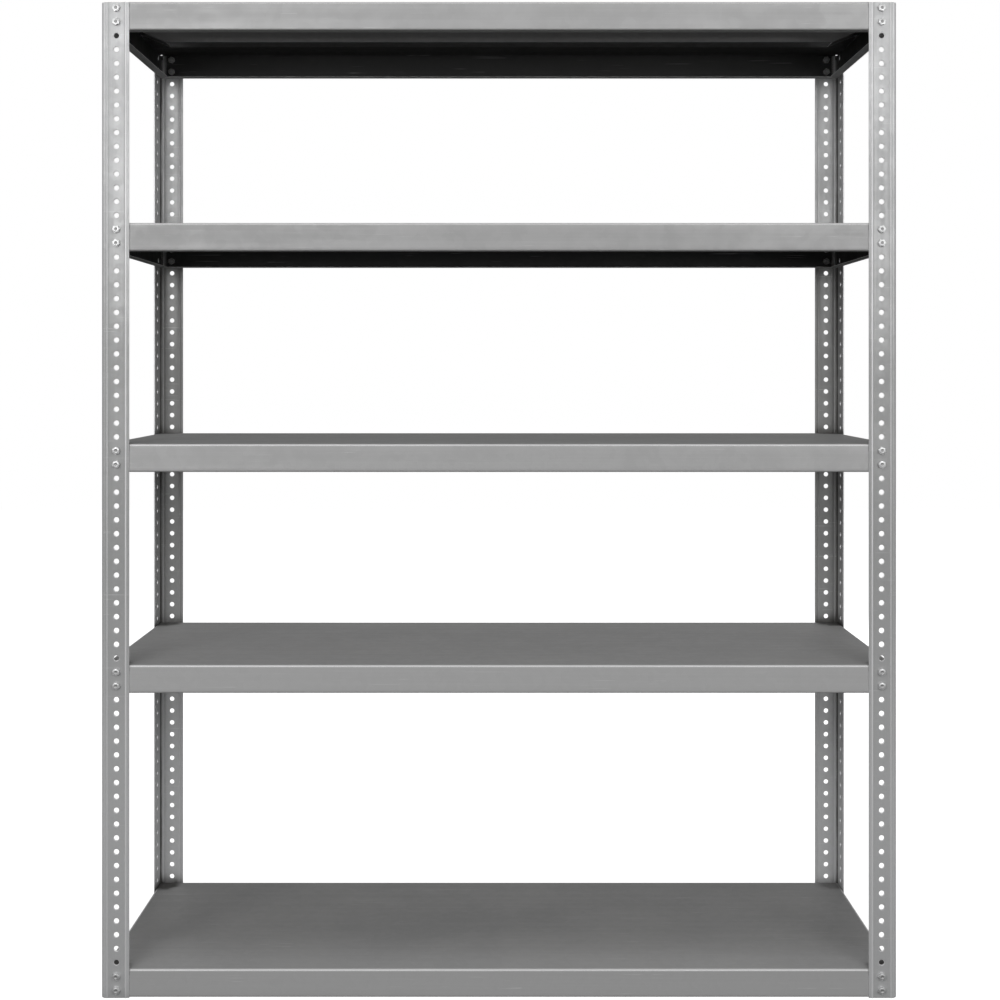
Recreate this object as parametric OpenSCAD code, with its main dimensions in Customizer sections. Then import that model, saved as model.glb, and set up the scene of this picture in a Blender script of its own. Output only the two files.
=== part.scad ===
// Bolted steel shelving unit.
// Four perforated angle posts carry five sheet-steel pan shelves, each stiffened by a
// channel under its deck. Two hex bolts and nuts hold every shelf corner to its post.
// The origin is the centre of the footprint on the floor, +Z is up and the front faces -Y.

/* [Overall] */
// Width over the posts
unit_w = 1460; // [900:1:1830]
// Depth over the posts
unit_d = 457.2; // [300:0.1:610]
// Height of the posts
post_h = 1828.8; // [1500:0.1:2200]

/* [Posts] */
// Width of each leg of the angle
post_leg = 50.8; // [42:0.1:65]
// Thickness of the post steel
post_t = 2.3; // [1.5:0.1:3]
// Inside radius of the bend between the two legs
post_bend = 3; // [1:0.1:5]
// Radius of the rounded outer corner at each end of a post
post_corner = 6; // [1:0.1:8]
// Width of a stiffening bead
bead_w = 5; // [4:0.1:6]
// Height of a stiffening bead
bead_h = 1; // [0.4:0.1:1.2]
// Distance from the outer corner to the first bead
bead_corner = 10.4; // [9.5:0.1:12]
// Distance from the free edge of the leg to the second bead
bead_edge = 6.4; // [4:0.1:8]

/* [Holes] */
// Distance between neighbouring holes in a post
hole_pitch = 25.4; // [20:0.1:32]
// Room round a bolt in its hole, on the diameter
bolt_play = 1.5875; // [0.5:0.0005:2.5]
// Least height from the top hole to the end of the post
top_margin = 8; // [6:0.1:20]

/* [Shelves] */
// Thickness of the shelf steel
shelf_t = 1.2; // [0.8:0.1:2]
// Inside radius of the shelf bends
shelf_bend = 1.8; // [0.5:0.1:3]
// Width of the return lip under each flange
lip_w = 20; // [12:0.5:30]
// Height of the deck above the upper bolt
bolt_drop = 12; // [11:0.1:20]
// Height of the lower bolt above the edge of the flange
bolt_rise = 14.2; // [11.5:0.1:24]
// Gap between a shelf and the side leg of each post
side_gap = 0.5; // [0.2:0.1:2]
// Gap between the ends of two flanges and the bends at a corner
corner_gap = 2; // [1:0.5:6]
// Gap between the bottom shelf and the floor
floor_gap = 0.4; // [0.1:0.1:40]
// Number of hole rows from one shelf to the next, counted down from the top
shelf_rows = 16; // [6:1:20]

/* [Stiffening channels] */
// Height of the channel below the deck
channel_h = 28; // [12:0.5:45]
// Width of the bottom of the channel
channel_w = 45; // [25:0.5:80]
// Sideways lean of each web of the channel
channel_lean = 6; // [0:0.5:15]
// Width of each welded flange of the channel
channel_flange = 15; // [8:0.5:30]
// Thickness of the channel steel
channel_t = 1.2; // [0.8:0.1:2]
// Gap between the end of the channel and the bend of the shelf
channel_gap = 2; // [0.5:0.5:30]
// Length of the slanted cut at each end of the channel
channel_snipe = 65; // [10:1:120]

/* [Fasteners] */
// Diameter of the bolts
bolt_d = 7.9375; // [6:0.0005:9.6]
// Length of bolt that stands out of its nut
bolt_tail = 2.45; // [0.5:0.05:8]
// Width of a bolt head across its flats
head_af = 12.7; // [11:0.1:15.3]
// Height of a bolt head
head_h = 5.2; // [3:0.1:8]
// Diameter of the dimple in a bolt head
dimple_d = 6.4; // [3:0.1:8]
// Depth of the dimple in a bolt head
dimple_h = 1.1; // [0.4:0.1:2]
// Width of a nut across its flats
nut_af = 12.7; // [11:0.1:15.3]
// Height of a nut
nut_h = 6.75; // [4:0.05:9]
// Room round the bolt in its nut, on the radius
nut_play = 0.05; // [0.02:0.01:0.2]

/* [Hidden] */

post_colour = "lightsteelblue";
shelf_colour = "darkgray";
channel_colour = "gray";
bolt_colour = "gainsboro";
nut_colour = "silver";

// Full turns of an arc, and the six sides of a hexagon
arc_steps = 48;
hex_sides = 6;
// Extra length that a cutting tool runs past the steel
overcut = 1;
// Angle of the chamfer on hex corners, and the share of the flats that stays level
chamfer_angle = 30;
level_share = 0.94;

// Post section
post_outer_r = post_bend + post_t;
bead_far = post_leg - bead_edge;
bead_r = (bead_w * bead_w / 4 + bead_h * bead_h) / (2 * bead_h);
hole_d = bolt_d + bolt_play;
hole_inset = (bead_corner + bead_far) / 2;

// Rows of holes, counted from 0 at the foot
first_row_z = bolt_rise + floor_gap;
row_count = floor((post_h - top_margin - first_row_z) / hole_pitch) + 1;
top_row = row_count - 1;
upper_row = top_row - shelf_rows;
middle_row = top_row - 2 * shelf_rows;
lower_row = top_row - 3 * shelf_rows;
bottom_row = 1;

// Shelf pan
shelf_w = unit_w - 2 * (post_t + side_gap);
shelf_d = unit_d - 2 * post_t;
shelf_h = bolt_drop + hole_pitch + bolt_rise;
shelf_outer_r = shelf_bend + shelf_t;
corner_cut = max(post_bend, shelf_outer_r) + corner_gap;

// Channel section
channel_l = shelf_w - 2 * (shelf_outer_r + channel_gap);
web_angle = atan(channel_lean / (channel_h - channel_t));
web_t = channel_t / cos(web_angle);

// Fastener places
bolt_len = post_t + shelf_t + nut_h + bolt_tail;
bolt_x = unit_w / 2 - hole_inset;
bolt_y = unit_d / 2 - hole_inset;

function row_z(row) = first_row_z + row * hole_pitch;
function deck_z(row) = row_z(row) + bolt_drop;

// A cylinder that points along +Y from the origin
module rod_y(d, h) {
    rotate([-90, 0, 0]) cylinder(d = d, h = h, $fn = arc_steps);
}

// A cylinder that points along +X from the origin
module rod_x(d, h) {
    rotate([0, 90, 0]) cylinder(d = d, h = h, $fn = arc_steps);
}

// Quarter of a ring whose bend is centred on the origin, towards -X and -Y
module bend_section(inner_r, t) {
    intersection() {
        difference() {
            circle(r = inner_r + t, $fn = arc_steps);
            circle(r = inner_r, $fn = arc_steps);
        }
        translate([-(inner_r + t), -(inner_r + t)]) square(inner_r + t);
    }
}

// ---- Posts ----

// Bead pressed outwards (-Y) at the given distance along a leg that lies on +X
module bead_bump(at) {
    intersection() {
        translate([at, bead_r - bead_h]) circle(r = bead_r, $fn = arc_steps);
        translate([at - bead_w, -bead_h]) square([2 * bead_w, bead_h + post_t / 2]);
    }
}

// Hollow that the bead leaves on the inside of the leg
module bead_hollow(at) {
    translate([at, bead_r - bead_h]) circle(r = bead_r - post_t, $fn = arc_steps);
}

// One leg from the bend to its free edge, with its two beads
module leg_section() {
    difference() {
        union() {
            translate([post_outer_r, 0]) square([post_leg - post_outer_r, post_t]);
            for (at = [bead_corner, bead_far]) bead_bump(at);
        }
        for (at = [bead_corner, bead_far]) bead_hollow(at);
    }
}

// Angle section with its outer corner at the origin and its legs along +X and +Y
module post_section() {
    leg_section();
    mirror([1, -1]) leg_section();
    translate([post_outer_r, post_outer_r]) bend_section(post_bend, post_t);
}

module leg_holes() {
    reach = bead_h + post_t + 2 * overcut;
    for (row = [0 : top_row]) {
        translate([hole_inset, -bead_h - overcut, row_z(row)]) rod_y(hole_d, reach);
        translate([-bead_h - overcut, hole_inset, row_z(row)]) rod_x(hole_d, reach);
    }
}

// What a leg along +X loses where its lower outer corner is rounded
module corner_waste() {
    difference() {
        translate([-overcut, -overcut, -overcut]) cube(post_corner + overcut);
        translate([post_corner, -2 * overcut, post_corner])
            rod_y(2 * post_corner, post_corner + 3 * overcut);
    }
}

// Cut that rounds both legs towards the bend at the foot of a post
module end_cut() {
    intersection() {
        corner_waste();
        mirror([1, -1, 0]) corner_waste();
    }
}

// right and rear are 0 or 1, and say which corner of the unit the post stands at
module post(right, rear) {
    color(post_colour)
    mirror([right, 0, 0]) mirror([0, rear, 0])
    translate([-unit_w / 2, -unit_d / 2, 0])
    difference() {
        linear_extrude(height = post_h) post_section();
        leg_holes();
        end_cut();
        translate([0, 0, post_h]) mirror([0, 0, 1]) end_cut();
    }
}

// ---- Shelves ----

// Flange with its two bends: +X runs inwards from its face, and the deck is at Y = 0
module flange_section() {
    translate([shelf_outer_r, -shelf_outer_r]) mirror([0, 1]) bend_section(shelf_bend, shelf_t);
    translate([0, shelf_outer_r - shelf_h]) square([shelf_t, shelf_h - 2 * shelf_outer_r]);
    translate([shelf_outer_r, shelf_outer_r - shelf_h]) bend_section(shelf_bend, shelf_t);
}

// Lip that turns inwards from the flange, with mitred ends
module lip_plate(run) {
    reach = lip_w - shelf_outer_r;
    translate([shelf_outer_r, 0, -shelf_h])
    linear_extrude(height = shelf_t)
    polygon([[0, -run / 2], [0, run / 2], [reach, run / 2 - reach], [reach, reach - run / 2]]);
}

// One side of the pan, of the given length, with its face at X = 0 and the deck towards +X
module pan_side(run) {
    translate([0, run / 2, 0]) rotate([90, 0, 0]) linear_extrude(height = run) flange_section();
    lip_plate(run);
}

module pan_sides() {
    for (turn = [0, 180]) rotate([0, 0, turn]) {
        translate([-shelf_w / 2, 0, 0]) pan_side(shelf_d - 2 * corner_cut);
        rotate([0, 0, 90]) translate([-shelf_d / 2, 0, 0]) pan_side(shelf_w - 2 * corner_cut);
    }
}

module deck_plate() {
    deck_w = shelf_w - 2 * shelf_outer_r;
    deck_d = shelf_d - 2 * shelf_outer_r;
    translate([-deck_w / 2, -deck_d / 2, -shelf_t]) cube([deck_w, deck_d, shelf_t]);
}

// Two holes at each end of each flange, below the deck at Z = 0
module shelf_holes() {
    reach = shelf_t + 2 * overcut;
    for (z = [-bolt_drop, -bolt_drop - hole_pitch], right = [0, 1], rear = [0, 1])
        mirror([right, 0, 0]) mirror([0, rear, 0]) {
            translate([bolt_x, shelf_d / 2 - shelf_t - overcut, z]) rod_y(hole_d, reach);
            translate([shelf_w / 2 - shelf_t - overcut, bolt_y, z]) rod_x(hole_d, reach);
        }
}

module shelf(row) {
    color(shelf_colour)
    translate([0, 0, deck_z(row)])
    difference() {
        union() {
            deck_plate();
            pan_sides();
        }
        shelf_holes();
    }
}

// ---- Stiffening channels ----

// Half the width of the outside of the web, at a height z below the deck
function web_y(z) = channel_w / 2 + channel_lean * (z + channel_h) / (channel_h - channel_t);

// Hat section: welded flanges at the top, leaning webs, level bottom
module channel_section() {
    edge = web_y(-channel_t) + channel_flange;
    inner_top = web_y(0) - web_t;
    inner_low = web_y(channel_t - channel_h) - web_t;
    right = [
        [channel_w / 2, -channel_h], [web_y(-channel_t), -channel_t], [edge, -channel_t],
        [edge, 0], [inner_top, 0], [inner_low, channel_t - channel_h]
    ];
    left = [for (i = [5 : -1 : 0]) [-right[i][0], right[i][1]]];
    polygon(concat(right, left));
}

// Slanted cut that leaves the flanges whole at the +X end
module channel_snipe_cut() {
    reach = channel_w + 2 * channel_lean + 2 * overcut;
    drop = channel_h + overcut;
    slope = channel_snipe / (channel_h - channel_t);
    translate([channel_l / 2, reach / 2, -channel_t])
    rotate([90, 0, 0])
    linear_extrude(height = reach)
    polygon([[0, 0], [0, -drop], [-slope * drop, -drop]]);
}

module channel(row) {
    color(channel_colour)
    translate([0, 0, deck_z(row) - shelf_t])
    difference() {
        rotate([90, 0, 90]) translate([0, 0, -channel_l / 2])
            linear_extrude(height = channel_l) channel_section();
        channel_snipe_cut();
        mirror([1, 0, 0]) channel_snipe_cut();
    }
}

// ---- Bolts and nuts ----

// Hexagonal block from the origin along +Y, with a chamfered far end
module hex_block(af, h) {
    level_r = level_share * af / 2;
    rotate([-90, 0, 0]) intersection() {
        cylinder(d = af / cos(30), h = h, $fn = hex_sides);
        cylinder(r1 = level_r + h / tan(chamfer_angle), r2 = level_r, h = h, $fn = arc_steps);
    }
}

// Bolt whose head lies against Y = 0 on the -Y side, with its shank along +Y
module bolt() {
    difference() {
        union() {
            rod_y(bolt_d, bolt_len);
            mirror([0, 1, 0]) hex_block(head_af, head_h);
        }
        translate([0, -head_h - overcut, 0]) rod_y(dimple_d, dimple_h + overcut);
    }
}

// Nut that lies against Y = 0, on the +Y side
module nut() {
    difference() {
        hex_block(nut_af, nut_h);
        translate([0, -overcut, 0]) rod_y(bolt_d + 2 * nut_play, nut_h + 2 * overcut);
    }
}

// Copies its child to the two bolt places at both ends of one face of a shelf
module at_bolts(row, rear, inwards) {
    mirror([0, rear, 0])
    for (x = [-bolt_x, bolt_x], lower = [0, 1])
        translate([x, inwards - unit_d / 2, row_z(row - lower)]) children();
}

module bolts(row, rear) {
    color(bolt_colour) at_bolts(row, rear, 0) bolt();
}

module nuts(row, rear) {
    color(nut_colour) at_bolts(row, rear, post_t + shelf_t) nut();
}

// ---- The named pieces ----

module post_front_left() { post(0, 0); }
module post_front_right() { post(1, 0); }
module post_rear_left() { post(0, 1); }
module post_rear_right() { post(1, 1); }

module shelf_top() { shelf(top_row); }
module shelf_upper() { shelf(upper_row); }
module shelf_middle() { shelf(middle_row); }
module shelf_lower() { shelf(lower_row); }
module shelf_bottom() { shelf(bottom_row); }

module channel_top() { channel(top_row); }
module channel_upper() { channel(upper_row); }
module channel_middle() { channel(middle_row); }
module channel_lower() { channel(lower_row); }
module channel_bottom() { channel(bottom_row); }

module bolts_front_top() { bolts(top_row, 0); }
module bolts_front_upper() { bolts(upper_row, 0); }
module bolts_front_middle() { bolts(middle_row, 0); }
module bolts_front_lower() { bolts(lower_row, 0); }
module bolts_front_bottom() { bolts(bottom_row, 0); }
module bolts_rear_top() { bolts(top_row, 1); }
module bolts_rear_upper() { bolts(upper_row, 1); }
module bolts_rear_middle() { bolts(middle_row, 1); }
module bolts_rear_lower() { bolts(lower_row, 1); }
module bolts_rear_bottom() { bolts(bottom_row, 1); }

module nuts_front_top() { nuts(top_row, 0); }
module nuts_front_upper() { nuts(upper_row, 0); }
module nuts_front_middle() { nuts(middle_row, 0); }
module nuts_front_lower() { nuts(lower_row, 0); }
module nuts_front_bottom() { nuts(bottom_row, 0); }
module nuts_rear_top() { nuts(top_row, 1); }
module nuts_rear_upper() { nuts(upper_row, 1); }
module nuts_rear_middle() { nuts(middle_row, 1); }
module nuts_rear_lower() { nuts(lower_row, 1); }
module nuts_rear_bottom() { nuts(bottom_row, 1); }

post_front_left();
post_front_right();
post_rear_left();
post_rear_right();
shelf_top();
shelf_upper();
shelf_middle();
shelf_lower();
shelf_bottom();
channel_top();
channel_upper();
channel_middle();
channel_lower();
channel_bottom();
bolts_front_top();
bolts_front_upper();
bolts_front_middle();
bolts_front_lower();
bolts_front_bottom();
bolts_rear_top();
bolts_rear_upper();
bolts_rear_middle();
bolts_rear_lower();
bolts_rear_bottom();
nuts_front_top();
nuts_front_upper();
nuts_front_middle();
nuts_front_lower();
nuts_front_bottom();
nuts_rear_top();
nuts_rear_upper();
nuts_rear_middle();
nuts_rear_lower();
nuts_rear_bottom();
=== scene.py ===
"""Bolted steel shelving unit: its visible surfaces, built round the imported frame.

Lengths are in metres, +Z is up and the front faces -Y, as in the frame. Each sheet-metal
piece is worked out flat, with its holes, and then folded; bolts and nuts are turned.
"""
import math

import bpy
import numpy as np
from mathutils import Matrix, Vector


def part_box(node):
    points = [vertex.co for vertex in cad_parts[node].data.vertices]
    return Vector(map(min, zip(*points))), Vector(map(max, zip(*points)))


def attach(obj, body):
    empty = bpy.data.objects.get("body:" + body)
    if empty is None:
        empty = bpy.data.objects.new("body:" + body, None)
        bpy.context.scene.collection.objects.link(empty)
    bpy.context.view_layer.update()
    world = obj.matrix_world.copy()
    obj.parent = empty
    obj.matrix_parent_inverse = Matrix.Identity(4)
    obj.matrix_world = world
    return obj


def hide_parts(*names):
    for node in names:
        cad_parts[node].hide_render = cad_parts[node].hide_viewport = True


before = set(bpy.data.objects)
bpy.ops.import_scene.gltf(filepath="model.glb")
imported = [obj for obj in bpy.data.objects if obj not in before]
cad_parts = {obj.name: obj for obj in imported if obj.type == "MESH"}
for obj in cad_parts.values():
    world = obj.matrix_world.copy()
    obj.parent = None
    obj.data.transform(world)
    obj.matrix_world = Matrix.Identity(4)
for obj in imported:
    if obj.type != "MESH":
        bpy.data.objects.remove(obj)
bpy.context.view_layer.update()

# ---- The view ------------------------------------------------------------------------
# Straight onto the front and level, from a little above the middle deck. The lens is
# shifted down, so that the uprights stay parallel.
view_distance = 2.67
view_width = 1.836
eye_height = 1.155
sensor_width = 36.0
post_ahead_of_shelf = 0.0023

camera_data = bpy.data.cameras.new("view")
camera_data.sensor_width = sensor_width
camera_data.lens = sensor_width * view_distance / view_width
camera_data.shift_x = 0.001
camera_data.shift_y = -0.131
camera = bpy.data.objects.new("view", camera_data)
front_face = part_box("shelf_top")[0].y - post_ahead_of_shelf
camera.location = (0, front_face - view_distance, eye_height)
camera.rotation_euler = (math.radians(90), 0, 0)
bpy.context.scene.collection.objects.link(camera)
bpy.context.scene.camera = camera
bpy.context.scene.view_settings.view_transform = "Standard"


# ---- The studio ----------------------------------------------------------------------
# A pale floor, two broad soft lights in front, a third behind that shows in no reflection,
# and a surround that is brightest in front just above eye level, dim behind and dark below,
# so that the undersides stay dark.
def add_node(tree, kind, inputs=None, **settings):
    """Add a node; inputs maps a socket's name or number to a value or to another output."""
    made = tree.nodes.new(kind)
    for key, value in settings.items():
        setattr(made, key, value)
    for key, value in (inputs or {}).items():
        if isinstance(value, bpy.types.NodeSocket):
            tree.links.new(value, made.inputs[key])
        else:
            made.inputs[key].default_value = value
    return made


def ramp(tree, factor, stops):
    """Colour ramp over factor through grey stops of (place, brightness)."""
    made = add_node(tree, "ShaderNodeValToRGB", {"Fac": factor})
    points = made.color_ramp.elements
    while len(points) < len(stops):
        points.new(0.5)
    for point, (place, grey) in zip(points, stops):
        point.position = place
        point.color = (grey, grey, grey, 1)
    return made.outputs["Color"]


def grey_of(level):
    """Opaque grey of one level, as a colour socket wants it."""
    return (level, level, level, 1)


def build_surround():
    """World whose brightness goes by height, from one ramp in front to another behind.

    The camera itself sees plain white.
    """
    world = bpy.data.worlds.new("studio")
    world.use_nodes = True
    tree = world.node_tree
    tree.nodes.clear()
    direction = add_node(tree, "ShaderNodeTexCoord").outputs["Generated"]
    axes = add_node(tree, "ShaderNodeSeparateXYZ", {"Vector": direction}).outputs
    height = add_node(tree, "ShaderNodeMapRange", {0: axes["Z"], 1: -1.0, 2: 1.0}).outputs[0]
    depth = add_node(tree, "ShaderNodeMapRange", {0: axes["Y"], 1: -0.10, 2: 0.45}).outputs[0]
    front = ramp(tree, height, [(0, 0.01), (0.30, 0.03), (0.42, 0.08), (0.50, 0.62),
                                (0.58, 0.66), (0.70, 0.52), (0.85, 0.30), (1, 0.12)])
    rear = ramp(tree, height, [(0, 0.005), (0.45, 0.02), (0.52, 0.18), (0.65, 0.15),
                               (1, 0.12)])
    both = add_node(tree, "ShaderNodeMix", {0: depth, 6: front, 7: rear}, data_type="RGBA")
    lit = add_node(tree, "ShaderNodeBackground", {"Color": both.outputs[2], "Strength": 1.0})
    seen = add_node(tree, "ShaderNodeBackground", {"Color": grey_of(1.0), "Strength": 1.0})
    first_ray = add_node(tree, "ShaderNodeLightPath").outputs["Is Camera Ray"]
    mixed = add_node(tree, "ShaderNodeMixShader",
                     {0: first_ray, 1: lit.outputs[0], 2: seen.outputs[0]})
    add_node(tree, "ShaderNodeOutputWorld", {"Surface": mixed.outputs[0]})
    bpy.context.scene.world = world


def add_area_light(name, place, aim, size, power, glossy=True):
    """Soft rectangular light at place, turned so that its -Z axis points at aim."""
    data = bpy.data.lights.new(name, "AREA")
    data.shape = "RECTANGLE"
    data.size, data.size_y = size
    data.energy = power
    light = bpy.data.objects.new(name, data)
    light.location = place
    towards = light.location.copy()
    towards.x, towards.y, towards.z = (a - p for a, p in zip(aim, place))
    light.rotation_euler = towards.to_track_quat("-Z", "Y").to_euler()
    light.visible_glossy = glossy
    bpy.context.scene.collection.objects.link(light)


def build_floor():
    """Level square that glows just below white, so that only a faint contact shadow shows.

    It is clear from below, so that the undersides can be looked at.
    """
    half = 9.0
    drop = 0.0006
    glow_level = 0.92
    matt_level = 0.55
    mesh = bpy.data.meshes.new("floor")
    mesh.from_pydata([(-half, -half, -drop), (half, -half, -drop), (half, half, -drop),
                      (-half, half, -drop)], [], [(0, 1, 2, 3)])
    paint = bpy.data.materials.new("pale_floor")
    paint.use_nodes = True
    tree = paint.node_tree
    tree.nodes.clear()
    glow = add_node(tree, "ShaderNodeEmission", {"Color": grey_of(1.0), "Strength": glow_level})
    matt = add_node(tree, "ShaderNodeBsdfDiffuse", {"Color": grey_of(matt_level)})
    both = add_node(tree, "ShaderNodeAddShader", {0: glow.outputs[0], 1: matt.outputs[0]})
    clear = add_node(tree, "ShaderNodeBsdfTransparent")
    under = add_node(tree, "ShaderNodeNewGeometry").outputs["Backfacing"]
    one_way = add_node(tree, "ShaderNodeMixShader",
                       {0: under, 1: both.outputs[0], 2: clear.outputs[0]})
    add_node(tree, "ShaderNodeOutputMaterial", {"Surface": one_way.outputs[0]})
    mesh.materials.append(paint)
    floor = bpy.data.objects.new("floor", mesh)
    floor.visible_diffuse = False
    floor.visible_glossy = False
    bpy.context.scene.collection.objects.link(floor)


build_surround()
build_floor()
add_area_light("key", (-1.7, -3.6, 2.0), (0, 0, 0.6), (2.0, 1.8), 35.0)
add_area_light("front_fill", (1.8, -3.6, 1.9), (0, 0, 0.6), (2.0, 1.8), 28.0)
add_area_light("rear_fill", (0.6, 3.8, 1.8), (0, 0, 0.9), (3.0, 2.4), 60.0, glossy=False)

# ---- Posts ---------------------------------------------------------------------------
# Four angles of 2.3 mm galvanised strip, roll-formed with two stiffening beads on each leg
# and punched with a row of bolt holes down each leg at an even pitch. They stand straight
# on their sheared ends, and every shelf is bolted to the inside of them.
post_gauge = 0.0023
post_bend = 0.0053
bead_height = 0.0010
bead_width = 0.0062
bead_places = (0.0104, 0.0444)
hole_inset = 0.0274
hole_pitch = 0.0254
hole_radius = 0.0047625
post_hole_cell = 0.0080
punched_rim = 0.0008
inner_rim = 0.0003
sheared_edge = 0.0004
post_corner = 0.0060
corner_blend = 0.0090
# Painted highlight on the bead crests and on the outer bend.
bead_highlight = (0.70, 1.0)
bend_highlight = 0.4
# Outside: darker between the beads. Inside the face legs: painted shade, bay by bay.
between_beads_darkening = 0.12
bay_shade = (0.10, 0.50, 0.60, 0.24)
# Painted shade at the foot, in the inner bend, where decks meet the posts and under them.
foot_shade = 0.25
foot_fade = 0.020
bend_shade = 1.6
bend_shade_width = 1.25
deck_shade_fade = 0.012
under_deck_shade = 0.45
shade_fade = 0.025
first_hole_z = (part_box("bolts_front_bottom")[0].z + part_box("bolts_front_bottom")[1].z
                - hole_pitch) / 2

ring_angles = np.radians(np.arange(-45, 315, 15))
cell_offsets = np.tan(np.radians(np.arange(-45, 46, 15)))


def lines(*groups):
    """One sorted set of grid lines out of several groups, without repeats."""
    return np.unique(np.round(np.concatenate([np.ravel(g) for g in groups]), 7))


def cell_lines(centres, cell):
    """Seven lines across the square round each hole, at centre + cell tan(-45, -30 ... 45)."""
    return np.ravel(np.asarray(centres)[:, None] + cell * cell_offsets)


def punched_sheet(u_lines, v_lines, holes, cell, radius, rim, keep):
    """Flat grid in u and v where four rings round each hole take the place of 6 x 6 quads.

    A ring's 24 points stand at centre + r (cos a, sin a), a from -45 degrees by 15, which
    are the bearings of the square's own edge points. The last rings turn down into the
    hole on a quarter circle of radius rim: r = radius + rim (1 - sin b), drop =
    rim (1 - cos b). keep(u, v) says which quads the blank has. Returns u, v, the drop
    below the face, a mask that is 1 on the rims, and the quads.
    """
    count = len(u_lines) * len(v_lines)
    index = np.arange(count).reshape(len(v_lines), len(u_lines))
    grid_u, grid_v = np.meshgrid(u_lines, v_lines)
    quads = np.stack([index[:-1, :-1], index[:-1, 1:], index[1:, 1:], index[1:, :-1]], -1)
    middle_u = (grid_u[1:, 1:] + grid_u[:-1, :-1]) / 2
    middle_v = (grid_v[1:, 1:] + grid_v[:-1, :-1]) / 2
    whole = keep(middle_u, middle_v)

    near = 1e-6
    column = np.searchsorted(u_lines, holes[:, 0] - cell - near)
    row = np.searchsorted(v_lines, holes[:, 1] - cell - near)
    steps = np.arange(6)
    whole[row[:, None, None] + steps[:, None], column[:, None, None] + steps] = False
    full, none = np.full(6, 6), np.zeros(6, int)
    right = np.concatenate([full, 6 - steps, none, steps])
    up = np.concatenate([steps, full, 6 - steps, none])
    square = index[row[:, None] + up, column[:, None] + right]

    bearing = np.radians([0.0, 45.0, 90.0])
    radii = radius + rim * np.append(2.2, 1 - np.sin(bearing))
    drops = rim * np.append(0.0, 1 - np.cos(bearing))
    rims = np.array([0.0, 0.5, 1.0, 1.0])
    ring_u = holes[:, 0, None, None] + radii[:, None] * np.cos(ring_angles)
    ring_v = holes[:, 1, None, None] + radii[:, None] * np.sin(ring_angles)
    ring_index = count + np.arange(ring_u.size).reshape(ring_u.shape)
    loops = np.concatenate([square[:, None], ring_index], 1)
    onward = np.roll(loops, -1, 2)
    ring_quads = np.stack([loops[:, :-1], onward[:, :-1], onward[:, 1:], loops[:, 1:]], -1)

    u = np.concatenate([grid_u.ravel(), ring_u.ravel()])
    v = np.concatenate([grid_v.ravel(), ring_v.ravel()])
    flat = np.zeros(count)
    drop = np.concatenate([flat, np.broadcast_to(drops[:, None], ring_u.shape).ravel()])
    mask = np.concatenate([flat, np.broadcast_to(rims[:, None], ring_u.shape).ravel()])
    faces = np.concatenate([quads[whole], ring_quads.reshape(-1, 4)])
    used, faces = np.unique(faces, return_inverse=True)
    return u[used], v[used], drop[used], mask[used], faces.reshape(-1, 4)


def turned_outwards(points, faces):
    """The quads, reversed if the volume that they close off comes out negative."""
    a, b, c, d = (points[faces[:, k]] for k in range(4))
    volume = np.sum(a * (np.cross(b, c) + np.cross(c, d)))
    return faces[:, ::-1] if volume < 0 else faces


def thicken(outer, inner, faces):
    """Closed plate out of two skins, with a wall on each edge that a single quad uses."""
    count = len(outer)
    start, end = faces.ravel(), np.roll(faces, -1, 1).ravel()
    alone = ~np.isin(start * count + end, end * count + start)
    start, end = start[alone], end[alone]
    walls = np.stack([end, start, start + count, end + count], -1)
    points = np.concatenate([outer, inner])
    shell = np.concatenate([faces, faces[:, ::-1] + count, walls])
    return points, turned_outwards(points, shell)


def add_piece(name, node, points, faces, material, masks=None, sheet_uv=None):
    """Put points and faces into a smooth mesh at the origin that stands for a CAD node.

    faces is a list of arrays with equal corners in each. masks are named values for each
    point, and sheet_uv is the place of each point on the flat blank.
    """
    corners = np.concatenate([np.ravel(f) for f in faces]).astype(np.int32)
    sizes = np.concatenate([np.full(len(f), f.shape[1]) for f in faces])
    starts = np.concatenate([[0], np.cumsum(sizes)[:-1]]).astype(np.int32)
    mesh = bpy.data.meshes.new(name)
    mesh.vertices.add(len(points))
    mesh.vertices.foreach_set("co", np.ravel(points).astype(np.float32))
    mesh.loops.add(len(corners))
    mesh.loops.foreach_set("vertex_index", corners)
    mesh.polygons.add(len(sizes))
    mesh.polygons.foreach_set("loop_start", starts)
    mesh.update(calc_edges=True)
    for key, values in (masks or {}).items():
        layer = mesh.attributes.new(key, "FLOAT", "POINT")
        layer.data.foreach_set("value", values.astype(np.float32))
    if sheet_uv is not None:
        layer = mesh.uv_layers.new(name="sheet")
        layer.uv.foreach_set("vector", sheet_uv[corners].astype(np.float32).ravel())
    mesh.shade_smooth()
    mesh.set_sharp_from_angle(angle=math.radians(38))
    mesh.materials.append(material)
    piece = bpy.data.objects.new(name, mesh)
    bpy.context.scene.collection.objects.link(piece)
    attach(piece, "root")
    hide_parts(node)
    return piece


def new_group(name, inputs, outputs):
    """Empty node group with float or vector inputs and float outputs; returns it and its ends."""
    group = bpy.data.node_groups.new(name, "ShaderNodeTree")
    for socket, (kind, value) in inputs.items():
        made = group.interface.new_socket(socket, in_out="INPUT", socket_type=kind)
        if value is not None:
            made.default_value = value
    for socket in outputs:
        group.interface.new_socket(socket, in_out="OUTPUT", socket_type="NodeSocketFloat")
    return group, group.nodes.new("NodeGroupInput"), group.nodes.new("NodeGroupOutput")


VECTOR, NUMBER = "NodeSocketVector", "NodeSocketFloat"


def math_node(tree, operation, first, second, third=None):
    """Output of one Math node."""
    inputs = {0: first, 1: second}
    if third is not None:
        inputs[2] = third
    return add_node(tree, "ShaderNodeMath", inputs, operation=operation).outputs[0]


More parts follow.
